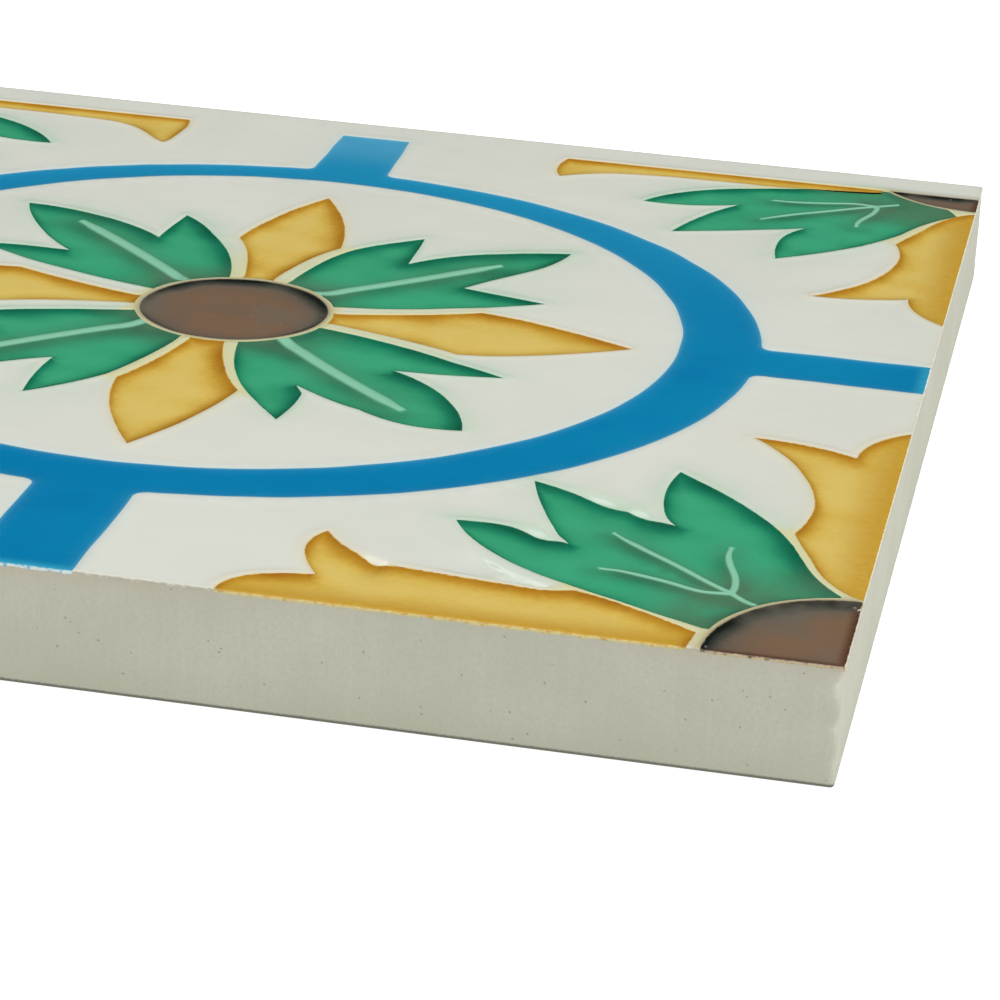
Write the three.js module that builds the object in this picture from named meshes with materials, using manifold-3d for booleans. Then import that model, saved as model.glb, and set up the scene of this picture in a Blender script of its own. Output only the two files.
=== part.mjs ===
// A square glazed wall tile with a moulded rosette pattern. It lies flat with its glazed face up.
// Millimetres, +Z up. The origin is the middle of the plain back, which is the face it rests on.
// The near edge is on the -Y side and the far edge on the +Y side.
import * as THREE from "three";
import { mergeVertices } from "three/addons/utils/BufferGeometryUtils.js";
import Module from "manifold-3d";

const wasm = await Module();
wasm.setup();

// The tile.
const TILE_SIDE = 140;
const TILE_THICKNESS = 11;

// The moulded cells that hold the coloured glazes.
const CELL_DEPTH = 0.5;
const RIDGE_WIDTH = 0.9;
const EDGE_LIP = 0.5;
const FAR_MARGIN = 5.5;

// The blue ring and its four arms.
const RING_INNER_RADIUS = 45.2;
const RING_WIDTH = 6.7;
const ARM_WIDTH = 8.4;
const ARM_FILLET = 1.2;

// The flower inside the ring.
const FLOWER_DISC_RADIUS = 9.4;
const FLOWER_TIP_GAP = 5;
const PETAL_WIDTH = 11.4;
const PETAL_FOOT_WIDTH = 3.4;
const PETAL_WIDEST_AT = 23.5;
const PETAL_FOOT_BULGE = 0.62;
const PETAL_TIP_BULGE = 0.8;
const LEAF_HALF_WIDTH = 12.1;

// The quarter flowers in the corners.
const CORNER_DISC_ALONG_X = 11.8;
const CORNER_DISC_ALONG_Y = 13.7;
const CORNER_TIP_GAP = 1.8;

// The raised veins in the leaves.
const VEIN_WIDTH = 0.7;
const VEIN_HEIGHT = 0.3;
const VEIN_END_SHARE = 0.78;

// What follows from the sizes above.
const half = TILE_SIDE / 2;
const floorZ = TILE_THICKNESS - CELL_DEPTH;
const ringOuter = RING_INNER_RADIUS + RING_WIDTH;
const flowerReach = RING_INNER_RADIUS - FLOWER_TIP_GAP;
const cornerReach = half * Math.SQRT2 - ringOuter - CORNER_TIP_GAP;

// Steps on the round outlines, and how far a cutting solid runs past the face that it cuts.
const RING_STEPS = 72;
const DISC_STEPS = 24;
const CURVE_STEPS = 4;
const VEIN_STEPS_A_POINT = 1.5;
const OVERRUN = 1;

// One side of a leaf in the middle flower, from its foot to its tip. Each row is a bend point and an end point.
// Along the leaf's middle line the numbers are shares of its reach, across it shares of its half width.
const leafSide = [
  [0.5, 0.88, 0.735, 1],
  [0.69, 0.66, 0.585, 0.38],
  [0.8, 0.5, 1, 0],
];
const leafFoot = [0.24, 0.36];

// The corner motif is drawn for this reach, from the corner to the tip of the middle leaf lobe.
const DRAWN_CORNER_REACH = 45.4;

// Outlines of the corner motif. The first number is the way in from the side edge, the second the way in
// from the near or far edge. The first row is the start, and each other row is a bend point and an end point.
const cornerLeaf = [
  [12.3, 5.0],
  [20, 9, 27, 10.6],
  [33, 13, 36.5, 21.2],
  [31, 21.8, 26, 18.7],
  [29.5, 26, 31.7, 32.5],
  [22, 29.8, 17.7, 25.7],
  [20.3, 31, 19.4, 38.7],
  [10.5, 32, 7, 23],
  [5.4, 17.8, 2.1, 14],
  [3, 9, 4, 6],
];
const cornerPetalNear = [
  [52.2, 0],
  [52.2, 4.6, 45.2, 5.7],
  [48.5, 11, 46.4, 15.2],
  [43.5, 9.6, 34, 9.1],
  [29, 8.6, 24, 7.9],
  [18, 5.4, 11, 2.6],
  [11, 1, 11, 0],
];
const cornerPetalSide = [
  [0, 12],
  [0.2, 13, 0.6, 14.4],
  [4.8, 20.4, 6.6, 28],
  [5, 38, 14.2, 49.7],
  [6.5, 49.6, 4.2, 46.7],
  [3.8, 52, 0, 55.5],
];

// The three veins of a corner leaf, and the stem that they share. Each is a run of points.
const cornerVeins = [
  [[7, 8.6], [11, 12.5], [14, 15.5], [18, 19], [22.8, 23.2]],
  [[11, 12.5], [15, 12.8], [18, 13.8], [22, 14.5]],
  [[11, 12.5], [10.5, 15], [11.5, 18], [12.2, 21], [12.4, 22.8]],
];

const body = new THREE.MeshStandardMaterial({ color: 0xd7d8ce, roughness: 0.28, metalness: 0 });

// A closed solid for cutting and joining, from a three.js geometry.
function solid(geometry) {
  const plain = geometry.clone();
  plain.deleteAttribute("normal");
  plain.deleteAttribute("uv");
  const merged = mergeVertices(plain, 1e-5);
  return new wasm.Manifold(
    new wasm.Mesh({
      numProp: 3,
      vertProperties: new Float32Array(merged.attributes.position.array),
      triVerts: new Uint32Array(merged.index.array),
    }),
  );
}

// A flat outline pulled up from one height to another.
function prism(shape, lowZ, highZ, steps) {
  const geometry = new THREE.ExtrudeGeometry(shape, {
    depth: highZ - lowZ,
    bevelEnabled: false,
    curveSegments: steps,
  });
  geometry.translate(0, 0, lowZ);
  return solid(geometry);
}

// A cutting solid that leaves a cell with its floor below the glazed face.
function cell(shape, steps = CURVE_STEPS) {
  return prism(shape, floorZ, TILE_THICKNESS + OVERRUN, steps);
}

// A raised vein on a cell's floor, as a strip along a curve. It narrows to half its width at its end.
function vein(points) {
  const curve = new THREE.SplineCurve(points);
  const left = [];
  const right = [];
  const steps = Math.round((points.length - 2) * VEIN_STEPS_A_POINT) + 1;
  for (let i = 0; i <= steps; i += 1) {
    const t = i / steps;
    const at = curve.getPoint(t);
    const along = curve.getTangent(t);
    const reach = (VEIN_WIDTH / 2) * (1 - t / 2);
    const side = new THREE.Vector2(-along.y, along.x).multiplyScalar(reach);
    left.push(at.clone().add(side));
    right.unshift(at.clone().sub(side));
  }
  return prism(new THREE.Shape(left.concat(right)), floorZ - OVERRUN, floorZ + VEIN_HEIGHT, 1);
}

function oval(alongX, alongY, x = 0, y = 0) {
  const shape = new THREE.Shape();
  shape.absellipse(x, y, alongX, alongY, 0, Math.PI * 2, false, 0);
  return shape;
}

function turned(manifold, degrees) {
  return manifold.rotate([0, 0, degrees]);
}

// The ring, and one arm that runs from it past the tile's edge with a small fillet on each side.
function ringCell() {
  const shape = oval(ringOuter, ringOuter);
  shape.holes.push(oval(RING_INNER_RADIUS, RING_INNER_RADIUS));
  return cell(shape, RING_STEPS);
}

function armCell() {
  const w = ARM_WIDTH / 2;
  const flare = w + ARM_FILLET;
  const start = RING_INNER_RADIUS + RING_WIDTH / 2;
  const foot = Math.sqrt(ringOuter * ringOuter - flare * flare);
  const shape = new THREE.Shape();
  shape.moveTo(start, -flare);
  shape.lineTo(foot, -flare);
  shape.quadraticCurveTo(foot, -w, foot + ARM_FILLET, -w);
  shape.lineTo(half + OVERRUN, -w);
  shape.lineTo(half + OVERRUN, w);
  shape.lineTo(foot + ARM_FILLET, w);
  shape.quadraticCurveTo(foot, w, foot, flare);
  shape.lineTo(start, flare);
  return cell(shape);
}

// A petal of the middle flower, pointing along +X. Its foot lies under the disc, which is cut clear later.
function petalCell() {
  const w = PETAL_WIDTH / 2;
  const foot = PETAL_FOOT_WIDTH / 2;
  const bend = (PETAL_WIDEST_AT + FLOWER_DISC_RADIUS) / 2;
  const shoulder = (PETAL_WIDEST_AT + flowerReach) / 2;
  const shape = new THREE.Shape();
  shape.moveTo(FLOWER_DISC_RADIUS / 2, -foot);
  shape.lineTo(FLOWER_DISC_RADIUS, -foot);
  shape.quadraticCurveTo(bend, -w * PETAL_FOOT_BULGE, PETAL_WIDEST_AT, -w);
  shape.quadraticCurveTo(shoulder, -w * PETAL_TIP_BULGE, flowerReach, 0);
  shape.quadraticCurveTo(shoulder, w * PETAL_TIP_BULGE, PETAL_WIDEST_AT, w);
  shape.quadraticCurveTo(bend, w * PETAL_FOOT_BULGE, FLOWER_DISC_RADIUS, foot);
  shape.lineTo(FLOWER_DISC_RADIUS / 2, foot);
  return cell(shape);
}

// A leaf of the middle flower with three lobes, pointing along +X, with one vein left standing in it.
function leafCell() {
  const u = flowerReach;
  const v = LEAF_HALF_WIDTH;
  const back = leafSide.toReversed();
  const shape = new THREE.Shape();
  shape.moveTo((leafFoot[0] * u) / 2, (leafFoot[1] * v) / 2);
  shape.lineTo(leafFoot[0] * u, leafFoot[1] * v);
  for (const [bu, bv, eu, ev] of leafSide) {
    shape.quadraticCurveTo(bu * u, bv * v, eu * u, ev * v);
  }
  back.forEach(([bu, bv], i) => {
    const end = i + 1 < back.length ? back[i + 1].slice(2) : leafFoot;
    shape.quadraticCurveTo(bu * u, -bv * v, end[0] * u, -end[1] * v);
  });
  shape.lineTo((leafFoot[0] * u) / 2, (-leafFoot[1] * v) / 2);
  const from = new THREE.Vector2(FLOWER_DISC_RADIUS, 0);
  const to = new THREE.Vector2(u * VEIN_END_SHARE, 0);
  return cell(shape).subtract(vein([from, to]));
}

function flowerCells() {
  const clear = cell(oval(FLOWER_DISC_RADIUS + RIDGE_WIDTH, FLOWER_DISC_RADIUS + RIDGE_WIDTH), DISC_STEPS);
  const petal = petalCell().subtract(clear);
  const leaf = leafCell().subtract(clear);
  const cells = [cell(oval(FLOWER_DISC_RADIUS, FLOWER_DISC_RADIUS), DISC_STEPS)];
  for (let quarter = 0; quarter < 4; quarter += 1) {
    cells.push(turned(petal, quarter * 90));
    cells.push(turned(leaf, quarter * 90 + 45));
  }
  return cells;
}

// The quarter flower in the corner that the two signs pick.
function cornerCells(signX, signY) {
  const k = cornerReach / DRAWN_CORNER_REACH;
  const place = (a, b) => [signX * (half - a * k), signY * (half - b * k)];
  const outline = ([start, ...rows]) => {
    const shape = new THREE.Shape();
    shape.moveTo(...place(...start));
    for (const [ba, bb, ea, eb] of rows) {
      shape.quadraticCurveTo(...place(ba, bb), ...place(ea, eb));
    }
    return shape;
  };
  const cornerX = signX * half;
  const cornerY = signY * half;
  const disc = cell(oval(CORNER_DISC_ALONG_X, CORNER_DISC_ALONG_Y, cornerX, cornerY), DISC_STEPS);
  const clearX = CORNER_DISC_ALONG_X + RIDGE_WIDTH;
  const clearY = CORNER_DISC_ALONG_Y + RIDGE_WIDTH;
  const clear = cell(oval(clearX, clearY, cornerX, cornerY), DISC_STEPS);
  const veins = cornerVeins.map((run) => vein(run.map(([a, b]) => new THREE.Vector2(...place(a, b)))));
  const leaf = veins.reduce((left, strip) => left.subtract(strip), cell(outline(cornerLeaf)).subtract(clear));
  const near = cell(outline(cornerPetalNear)).subtract(clear);
  const side = cell(outline(cornerPetalSide)).subtract(clear);
  return [disc, leaf, near, side];
}

// The field that the pattern may fill: it stops a lip short of three edges and a wider margin short of the far one.
function patternField() {
  const width = TILE_SIDE - 2 * EDGE_LIP;
  const depth = TILE_SIDE - EDGE_LIP - FAR_MARGIN;
  const height = 2 * (CELL_DEPTH + OVERRUN);
  const box = new THREE.BoxGeometry(width, depth, height);
  box.translate(0, (EDGE_LIP - FAR_MARGIN) / 2, TILE_THICKNESS);
  return solid(box);
}

function tileSolid() {
  const block = new THREE.BoxGeometry(TILE_SIDE, TILE_SIDE, TILE_THICKNESS);
  block.translate(0, 0, TILE_THICKNESS / 2);
  const arm = armCell();
  const cells = [ringCell()];
  for (let quarter = 0; quarter < 4; quarter += 1) {
    cells.push(turned(arm, quarter * 90));
  }
  cells.push(...flowerCells());
  for (const signX of [-1, 1]) {
    for (const signY of [-1, 1]) {
      cells.push(...cornerCells(signX, signY));
    }
  }
  const pattern = cells.reduce((all, one) => all.add(one)).intersect(patternField());
  return solid(block).subtract(pattern);
}

function toGeometry(manifold) {
  const mesh = manifold.getMesh();
  const geometry = new THREE.BufferGeometry();
  geometry.setAttribute("position", new THREE.BufferAttribute(new Float32Array(mesh.vertProperties), 3));
  geometry.setIndex(new THREE.BufferAttribute(new Uint32Array(mesh.triVerts), 1));
  geometry.computeVertexNormals();
  return geometry;
}

const tile = new THREE.Mesh(toGeometry(tileSolid()), body);
tile.name = "ceramic_tile";

const part = new THREE.Group();
part.name = "ceramic_tile_part";
part.add(tile);

export default part;
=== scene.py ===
"""Looks of a square glazed tile with a moulded rosette. It lies flat with its glazed face up.

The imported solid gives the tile's size. The clay body, the white glaze and each field of coloured glaze are
meshes of their own. Their points are in millimetres, with +x to the right and +y to the far side."""

import math
from dataclasses import dataclass

import bpy
import numpy as np
from mathutils import Matrix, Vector
from mathutils.geometry import delaunay_2d_cdt
from mathutils.kdtree import KDTree


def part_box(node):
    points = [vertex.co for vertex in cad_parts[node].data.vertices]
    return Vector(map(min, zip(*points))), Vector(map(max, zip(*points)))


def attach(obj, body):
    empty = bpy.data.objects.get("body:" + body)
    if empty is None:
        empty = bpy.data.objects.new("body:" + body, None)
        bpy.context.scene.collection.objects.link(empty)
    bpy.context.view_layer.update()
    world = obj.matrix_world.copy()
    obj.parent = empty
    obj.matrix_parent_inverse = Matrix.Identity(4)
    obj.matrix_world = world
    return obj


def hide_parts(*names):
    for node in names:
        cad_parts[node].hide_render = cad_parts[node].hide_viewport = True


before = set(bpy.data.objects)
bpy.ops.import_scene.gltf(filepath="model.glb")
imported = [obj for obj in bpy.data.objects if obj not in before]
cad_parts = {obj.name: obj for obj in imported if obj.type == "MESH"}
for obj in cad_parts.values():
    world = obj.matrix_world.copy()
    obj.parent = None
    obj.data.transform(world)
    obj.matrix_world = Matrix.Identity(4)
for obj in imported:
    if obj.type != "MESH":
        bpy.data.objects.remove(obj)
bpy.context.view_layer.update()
NODE = "ceramic_tile"
MM = 0.001
low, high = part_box(NODE)
HALF = (high[0] - low[0]) / 2 / MM
TOP = high[2] / MM

# The glaze runs over the rounded top edges and a little way down the sides, as a skirt. Both are laid out
# flat at first, so the rounding ends at ARC_END and the skirt at SKIRT_END. Past FAR_LINE the face is plain.
EDGE_ROUND = 0.15
SKIRT = 0.21
SKIRT_RAGGED = 0.9
FAR_LINE = 64.3
ARC_END = HALF - EDGE_ROUND + EDGE_ROUND * math.pi / 2
SKIRT_END = ARC_END + SKIRT

# How far apart points lie along an outline, and across the plain ground.
STEP = 0.34
PITCH = 1.15

# The sizes of the ring and of the flower's disc, the disc's middle, and the ridges round the discs.
RING_IN, RING_OUT = 45.2, 51.6
DISC = 9.4
DISC_MIDDLE = (0.4, -0.3)
RIDGE = 0.6
CORNER_RIDGE = 0.42

# Levels below the tile's top, how far each glaze sinks below its rim, and how wide its walls and rim are.
RIM_LEVEL = -0.06
GROUND_LEVEL = -0.06
DEPTH = {"green": 0.3, "yellow": 0.28, "brown": 0.36, "blue": 0.1}
WALL_WIDTH = 0.95
RIM_WIDTH = 0.22
# The share of its depth that a cell has at the tile's edge, and how far in it has all of it. The share by
# which its middle rises again, and how high a vein stands.
EDGE_DEPTH, EDGE_REACH = 0.25, 2.4
DOME = 0.3
VEIN_HEIGHT = 0.14
# The crest of the ridge beside a cell: how far out it lies, and its widths towards and away from the cell.
CREST_AT, CREST_INNER, CREST_OUTER = 0.42, 0.55, 0.5

# Accidents of the glaze, each a place and a reach: lips, where the white drops steeply into a cell, hollows
# in the white beside a ridge, and small beads.
LIPS = [(41.2, -49.7, 1.8), (45.3, -40.9, 3.0), (48.8, -42.8, 2.2), (28.9, -59.9, 1.3)]
HOLLOWS = [(38.2, -58.6, 2.6), (41.0, -60.4, 2.6), (43.6, -61.4, 2.2)]
BEADS = [(57.1, -69.4, 0.24), (58.6, -69.2, 0.3), (69.4, -57.4, 0.32)]
LIP_DROP, LIP_WIDTH, LIP_STRETCH = 0.48, 1.2, 2.4
HOLLOW_DEPTH, HOLLOW_START, HOLLOW_END = 0.42, 1.1, 1.75
BEAD_HEIGHT, BEAD_MOAT = 0.26, 0.14

# How far the dark by a cell's walls reaches: the reach of the painted shade by its far walls, then the share
# and reach of the glaze that pools by its near walls.
POOL_AND_SHADE = {
    "green": (1.75, 0.7, 0.45),
    "yellow": (1.55, 0.6, 0.9),
    "brown": (1.5, 0.75, 1.0),
    "corner_disc": (1.9, 0.75, 1.0),
}
# The way to the far side, how fast the painted shade there fades, how much less it reaches by the far margin,
# and how uneven the pooling and the painted shade are.
SHADE_TOWARDS = (0.3, 0.95)
SHADE_POWER, FAR_SHADE_LOSS, POOL_AND_SHADE_WANDER = 1.4, 0.45, 0.12
RING_POOL, RING_POOL_REACH = 0.3, 0.5


def smooth(a, b, x):
    """Goes smoothly from 0 where x is a to 1 where it is b."""
    t = np.clip((x - a) / (b - a), 0, 1)
    return t * t * (3 - 2 * t)


def wave(x, y, seed, size):
    """A smooth uneven value from about -1 to 1 at each point, with bumps of about the given size."""
    rng = np.random.default_rng(seed)
    total = np.zeros_like(x)
    ripples = 7
    for _ in range(ripples):
        turn = rng.uniform(0, 2 * math.pi)
        pitch = size * rng.uniform(0.6, 1.7)
        shift = rng.uniform(0, 2 * math.pi)
        total += np.sin((x * math.cos(turn) + y * math.sin(turn)) * 2 * math.pi / pitch + shift)
    return total / 4.2


# Tools for outlines.


def bends(start, rows, place=None):
    """Points along bent lines. A row is an end point, or a bend point and an end point."""
    place = place or (lambda a, b: (a, b))
    here = np.array(place(*start), float)
    points = [here]
    for row in rows:
        end = np.array(place(*row[-2:]), float)
        bend = np.array(place(*row[:2]), float) if len(row) == 4 else (here + end) / 2
        length = np.linalg.norm(bend - here) + np.linalg.norm(end - bend)
        count = max(1, round(length / STEP))
        for i in range(1, count + 1):
            t = i / count
            points.append((1 - t) ** 2 * here + 2 * t * (1 - t) * bend + t * t * end)
        here = end
    return np.array(points)


def spline(points):
    """Points along a smooth run through the given ones."""
    p = np.concatenate([[2 * points[0] - points[1]], points, [2 * points[-1] - points[-2]]])
    out = []
    for i in range(1, len(p) - 2):
        steady = 2 * p[i]
        slope = p[i + 1] - p[i - 1]
        bow = 2 * p[i - 1] - 5 * p[i] + 4 * p[i + 1] - p[i + 2]
        twist = 3 * p[i] - p[i - 1] - 3 * p[i + 1] + p[i + 2]
        count = max(1, round(np.linalg.norm(p[i + 1] - p[i]) / STEP))
        for j in range(count):
            t = j / count
            out.append(0.5 * (steady + slope * t + bow * t**2 + twist * t**3))
    out.append(p[-2])
    return np.array(out)


def oval(x, y, rx, ry):
    count = round(2 * math.pi * max(rx, ry) / STEP)
    t = np.arange(count) * 2 * math.pi / count
    return np.stack([x + rx * np.cos(t), y + ry * np.sin(t)], -1)


def polar(r, t):
    return np.stack([r * np.cos(t), r * np.sin(t)], -1)


def turned(points, degrees):
    c, s = math.cos(math.radians(degrees)), math.sin(math.radians(degrees))
    return points @ np.array([[c, s], [-s, c]])


def keep_below(points, level):
    """The part of a closed outline on the near side of a line across the tile."""
    kept = []
    for a, b in zip(points, np.roll(points, -1, 0)):
        if a[1] <= level:
            kept.append(a)
        if (a[1] <= level) != (b[1] <= level):
            kept.append(a + (b - a) * (level - a[1]) / (b[1] - a[1]))
    return np.array(kept)


def evenly(points):
    """Splits long edges, so that no two points of an outline lie far apart."""
    out = []
    for a, b in zip(points, np.roll(points, -1, 0)):
        count = max(1, round(np.linalg.norm(b - a) / STEP))
        out.extend(a + (b - a) * i / count for i in range(count))
    return np.array(out)


def handmade(points, seed, amount=0.06):
    """Lets an outline wander a little, but not where it meets the tile's edge."""
    x, y = points[:, 0], points[:, 1]
    inside = smooth(-0.5, 1.5, edge_distance(points))
    return points + amount * inside[:, None] * np.stack([wave(x, y, seed, 9), wave(x, y, seed + 50, 8)], -1)


def edge_distance(points):
    return HALF - np.maximum(abs(points[:, 0]), abs(points[:, 1]))


def outside_oval(points, x, y, rx, ry):
    """Pushes what lies in an oval out to its rim, so that a cell stops short of a disc."""
    points = evenly(points)
    away = (points - [x, y]) / [rx, ry]
    reach = np.maximum(np.linalg.norm(away, axis=1), 1e-6)
    pushed = np.where(reach[:, None] < 1, away / reach[:, None], away)
    return pushed * [rx, ry] + [x, y]


# Cells: the fields of coloured glaze.


@dataclass
class Cell:
    """A field of coloured glaze: its outline, then that of its hole if it has one, and its raised veins."""

    name: str
    colour: str
    loops: list
    veins: list
    vein_width: float


FLOWER_VEIN_WIDTH, CORNER_VEIN_WIDTH = 0.78, 0.35
cells = []


def add_cell(name, colour, outline, seed, veins=(), hole=None):
    outline = evenly(keep_below(handmade(outline, seed), FAR_LINE))
    loops = [outline] if hole is None else [outline, hole]
    width = FLOWER_VEIN_WIDTH if name.startswith("leaf") else CORNER_VEIN_WIDTH
    cells.append(Cell(name, colour, loops, [spline(run) for run in veins], width))


# The ring. Each arm has a direction, the shift of its middle line to the left as seen from the ring, its half
# width, and how much wider its right side starts.
ARMS = [(0, 1.0, 3.9, 0), (90, 0.25, 3.75, 0.9), (180, -0.9, 4.0, 0), (270, 0.75, 4.6, 0)]
ARM_FILLET = 1.3
FILLET_BEND = 0.2
ARM_SPREAD = 0.1
PAST_EDGE = 3


def ring_out(t):
    """The ring's outer radius by angle. It is pressed by hand, a little off centre and oval."""
    return RING_OUT + 0.65 * np.cos(t) - 0.75 * np.sin(t) + 1.05 * np.cos(2 * t)


def ring_in(t):
    return RING_IN + 0.45 * np.sin(t) + 0.1 * np.cos(t)


def arm_outline(degrees, shift, half_width, flare):
    """An arm's right side on its way out past the tile's edge, and its left side on the way back."""
    reach = float(ring_out(math.radians(degrees)))
    foot = math.sqrt(reach**2 - (half_width + ARM_FILLET) ** 2)
    bend = foot + FILLET_BEND
    fillet_end = foot + ARM_FILLET
    end = HALF + PAST_EDGE
    right = shift - (half_width + flare)
    left = shift + half_width
    right_rows = [(bend, right, fillet_end, right), (end, shift - half_width - ARM_SPREAD)]
    left_rows = [(fillet_end, left), (bend, left, foot, left + ARM_FILLET)]
    right_side = bends((foot, right - ARM_FILLET), right_rows)
    left_side = bends((end, left + ARM_SPREAD), left_rows)
    return turned(np.concatenate([right_side, left_side]), degrees)


def ring_arc(start, end):
    """The ring's outer edge between two points close to it, without those points."""
    t0 = math.atan2(start[1], start[0])
    t1 = math.atan2(end[1], end[0])
    if t1 < t0:
        t1 += 2 * math.pi
    t = np.linspace(t0, t1, max(3, round((t1 - t0) * RING_OUT / STEP)))
    start_miss = np.linalg.norm(start) - ring_out(t0)
    end_miss = np.linalg.norm(end) - ring_out(t1)
    miss = start_miss * (1 - (t - t0) / (t1 - t0)) + end_miss * (t - t0) / (t1 - t0)
    return polar(ring_out(t) + miss, t)[1:-1]


def add_ring():
    arms = [arm_outline(*arm) for arm in ARMS]
    outer = []
    for arm, following in zip(arms, arms[1:] + arms[:1]):
        outer += [arm, ring_arc(arm[-1], following[0])]
    t = np.arange(round(2 * math.pi * RING_IN / STEP)) * STEP / RING_IN
    outline = handmade(np.concatenate(outer), 4, 0.09)
    add_cell("glaze_ring", "blue", outline, 1, hole=handmade(polar(ring_in(t), t), 2))


# The petals of the middle flower: direction, tip reach, tip shift, widest place, then for the right and the
# left side the half widths at the widest place and at the foot.
PETALS = {
    "right": (0, 40.5, 0.8, 24.3, (6.4, 1.6), (6.8, 1.6)),
    "far": (90, 39.6, -0.1, 22.6, (5.6, 1.7), (5.4, 1.6)),
    "left": (180, 40.2, 0, 24, (5.4, 0.7), (6, 1.8)),
    "near": (270, 40, 1, 23.2, (5.1, 1.6), (6.8, 1.9)),
}
# How far out along a petal its sides start, its foot ends, and its two bends lie, and its middle's shift.
PETAL_START, PETAL_FOOT, PETAL_LOW_BEND, PETAL_HIGH_BEND = 5, 10.5, 18.5, 31
PETAL_SHIFT = (0.2, -0.1)

# The leaves of the middle flower: the half widths of the foot on the right and the left side, the bow of the
# vein, and the outline between, along the middle line and to the left of it.
FLOWER_LEAVES = {
    "far_right": (3, 3, -0.3, [
        (10, -4.9), (14, -7.7, 19, -9.7), (24.5, -12, 29.4, -13), (26.3, -8, 24.7, -5.1),
        (28.5, -4.1, 33, -3.7), (38, -3, 41.3, -0.4), (38, 1.6, 34, 3), (29.5, 4.9, 23.7, 4.2),
        (27.5, 8, 29.8, 10.6), (24.5, 11.4, 20.9, 10.7), (15.5, 9, 10, 4.8),
    ]),
    "far_left": (3.6, 3.3, -0.3, [
        (9.5, -5.4), (15.5, -9.2, 22, -10.3), (25.8, -11.2, 28.9, -11), (26.6, -8, 23.4, -4.5),
        (28.5, -4.6, 33.5, -2.1), (37.5, -0.4, 40, 2.3), (37, 4.1, 30.7, 5.4), (27, 6.2, 23.5, 6),
        (26.8, 9, 29.8, 13), (26.3, 12.4, 22.4, 11.1), (15, 8.2, 9.8, 5),
    ]),
    "near_left": (2.6, 4, -0.4, [
        (9.6, -3.7), (15, -7, 21.2, -9.4), (25.5, -11.3, 29.5, -12.7), (27.5, -9, 23.8, -5),
        (27, -6, 31, -4.7), (36, -3.5, 40.2, 0.4), (36, 4, 31, 4.4), (27, 4.2, 22.9, 5.5),
        (27, 9, 29.8, 12.7), (25.5, 13, 20.5, 11.9), (14, 9.4, 9.8, 6.2),
    ]),
    "near_right": (3, 3, -0.5, [
        (9.9, -4.9), (16.5, -10.2, 24, -11.3), (27, -11.9, 29.8, -12.3), (27.6, -8.8, 24.8, -6.5),
        (22.7, -5.8), (27, -5.6, 31, -4), (37, -3.4, 40.1, 1.6), (37.3, 3.9, 31.5, 5.2),
        (27, 5.9, 23.4, 4.7), (26.8, 8.6, 29.8, 13.1), (26.5, 12.2, 23.8, 11.2), (16, 9, 9.8, 5.1),
    ]),
}
LEAF_START = 7
# A leaf's vein: places along it, and the share of its bow there.
LEAF_VEIN = [(DISC + 0.8, 0.3), (18, 1), (25, 1), (32.3, 0.4)]


def clear_of_disc(points):
    return outside_oval(points, *DISC_MIDDLE, DISC + RIDGE, DISC + RIDGE)


def petal_outline(tip, tip_shift, widest, right_side, left_side):
    """A petal that points along +x."""
    right, right_foot = right_side
    left, left_foot = left_side
    rows = [
        (PETAL_FOOT, -right_foot),
        (PETAL_LOW_BEND, -right * 0.55, widest, -right),
        (PETAL_HIGH_BEND, -right * 0.9, tip, tip_shift),
        (PETAL_HIGH_BEND, left * 0.84, widest, left),
        (PETAL_LOW_BEND, left * 0.55, PETAL_FOOT, left_foot),
        (PETAL_START, left_foot),
        (PETAL_START, -right_foot),
    ]
    return bends((PETAL_START, -right_foot), rows)


def add_flower():
    add_cell("glaze_disc", "brown", oval(*DISC_MIDDLE, DISC, DISC), 3)
    for k, (side, (degrees, *sizes)) in enumerate(PETALS.items()):
        outline = clear_of_disc(turned(petal_outline(*sizes), degrees) + PETAL_SHIFT)
        add_cell(f"petal_{side}", "yellow", outline, 10 + k)
    for k, (side, (right_foot, left_foot, bow, rows)) in enumerate(FLOWER_LEAVES.items()):
        degrees = 45 + 90 * k
        start = (LEAF_START, -right_foot)
        outline = clear_of_disc(turned(bends(start, rows + [(LEAF_START, left_foot), start]), degrees))
        vein = turned(np.array([(along, bow * share) for along, share in LEAF_VEIN]), degrees)
        add_cell(f"leaf_{side}", "green", outline, 20 + k, veins=[vein])


# Shapes in a near corner, as distances from the side edge and from the near edge.
CORNER_LEAF = ((12.3, 4.2), [
    (20, 7.6, 27.1, 11.2), (33.5, 14.9, 36.4, 21.1), (31.5, 22.2, 26, 18.8), (29.8, 24.8, 31.6, 32.4),
    (23.5, 29.2, 17.8, 25.8), (21, 30.5, 19.4, 38.8), (10.5, 31.5, 7.2, 24.2), (5, 17.5, 1.9, 14.2),
    (3, 10, 6, 7), (9, 4, 12.3, 4.2),
])
CORNER_NEAR = ((52.4, -3), [
    (52.4, 0.1), (52, 4.6, 45.1, 5.5), (49, 11.5, 46.4, 15.2), (43.5, 10.2, 38.5, 9.3),
    (33, 8.6, 26.5, 8), (25, 8.2, 23.7, 8.8), (19.4, 7.6, 12.6, 3.2), (12.7, 1.5, 12.9, 0.2),
    (13, -3), (52.4, -3),
])
CORNER_SIDE = ((-3, 12), [
    (0, 13.9), (3.4, 15.6, 5.5, 21.7), (6.6, 24.4, 7.5, 27.2), (6.2, 31.5, 6.9, 36),
    (8.5, 44.5, 14.2, 49.8), (8, 49.6, 4.3, 47.4), (4.2, 52.2, 0, 55.5), (-3, 57.5), (-3, 12),
])
CORNER_VEINS = [
    [(8.8, 10.4), (11, 12.5), (13.1, 14.2), (16.3, 17.1), (19.5, 19.8), (22.8, 23.1)],
    [(11, 12.4), (13.6, 12.2), (16.8, 13.4), (20.4, 14.4), (22.3, 14.5)],
    [(11, 12.5), (10.9, 14), (11.2, 16.2), (12, 18.8), (12.4, 20.8), (12.4, 22.4)],
]
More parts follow.
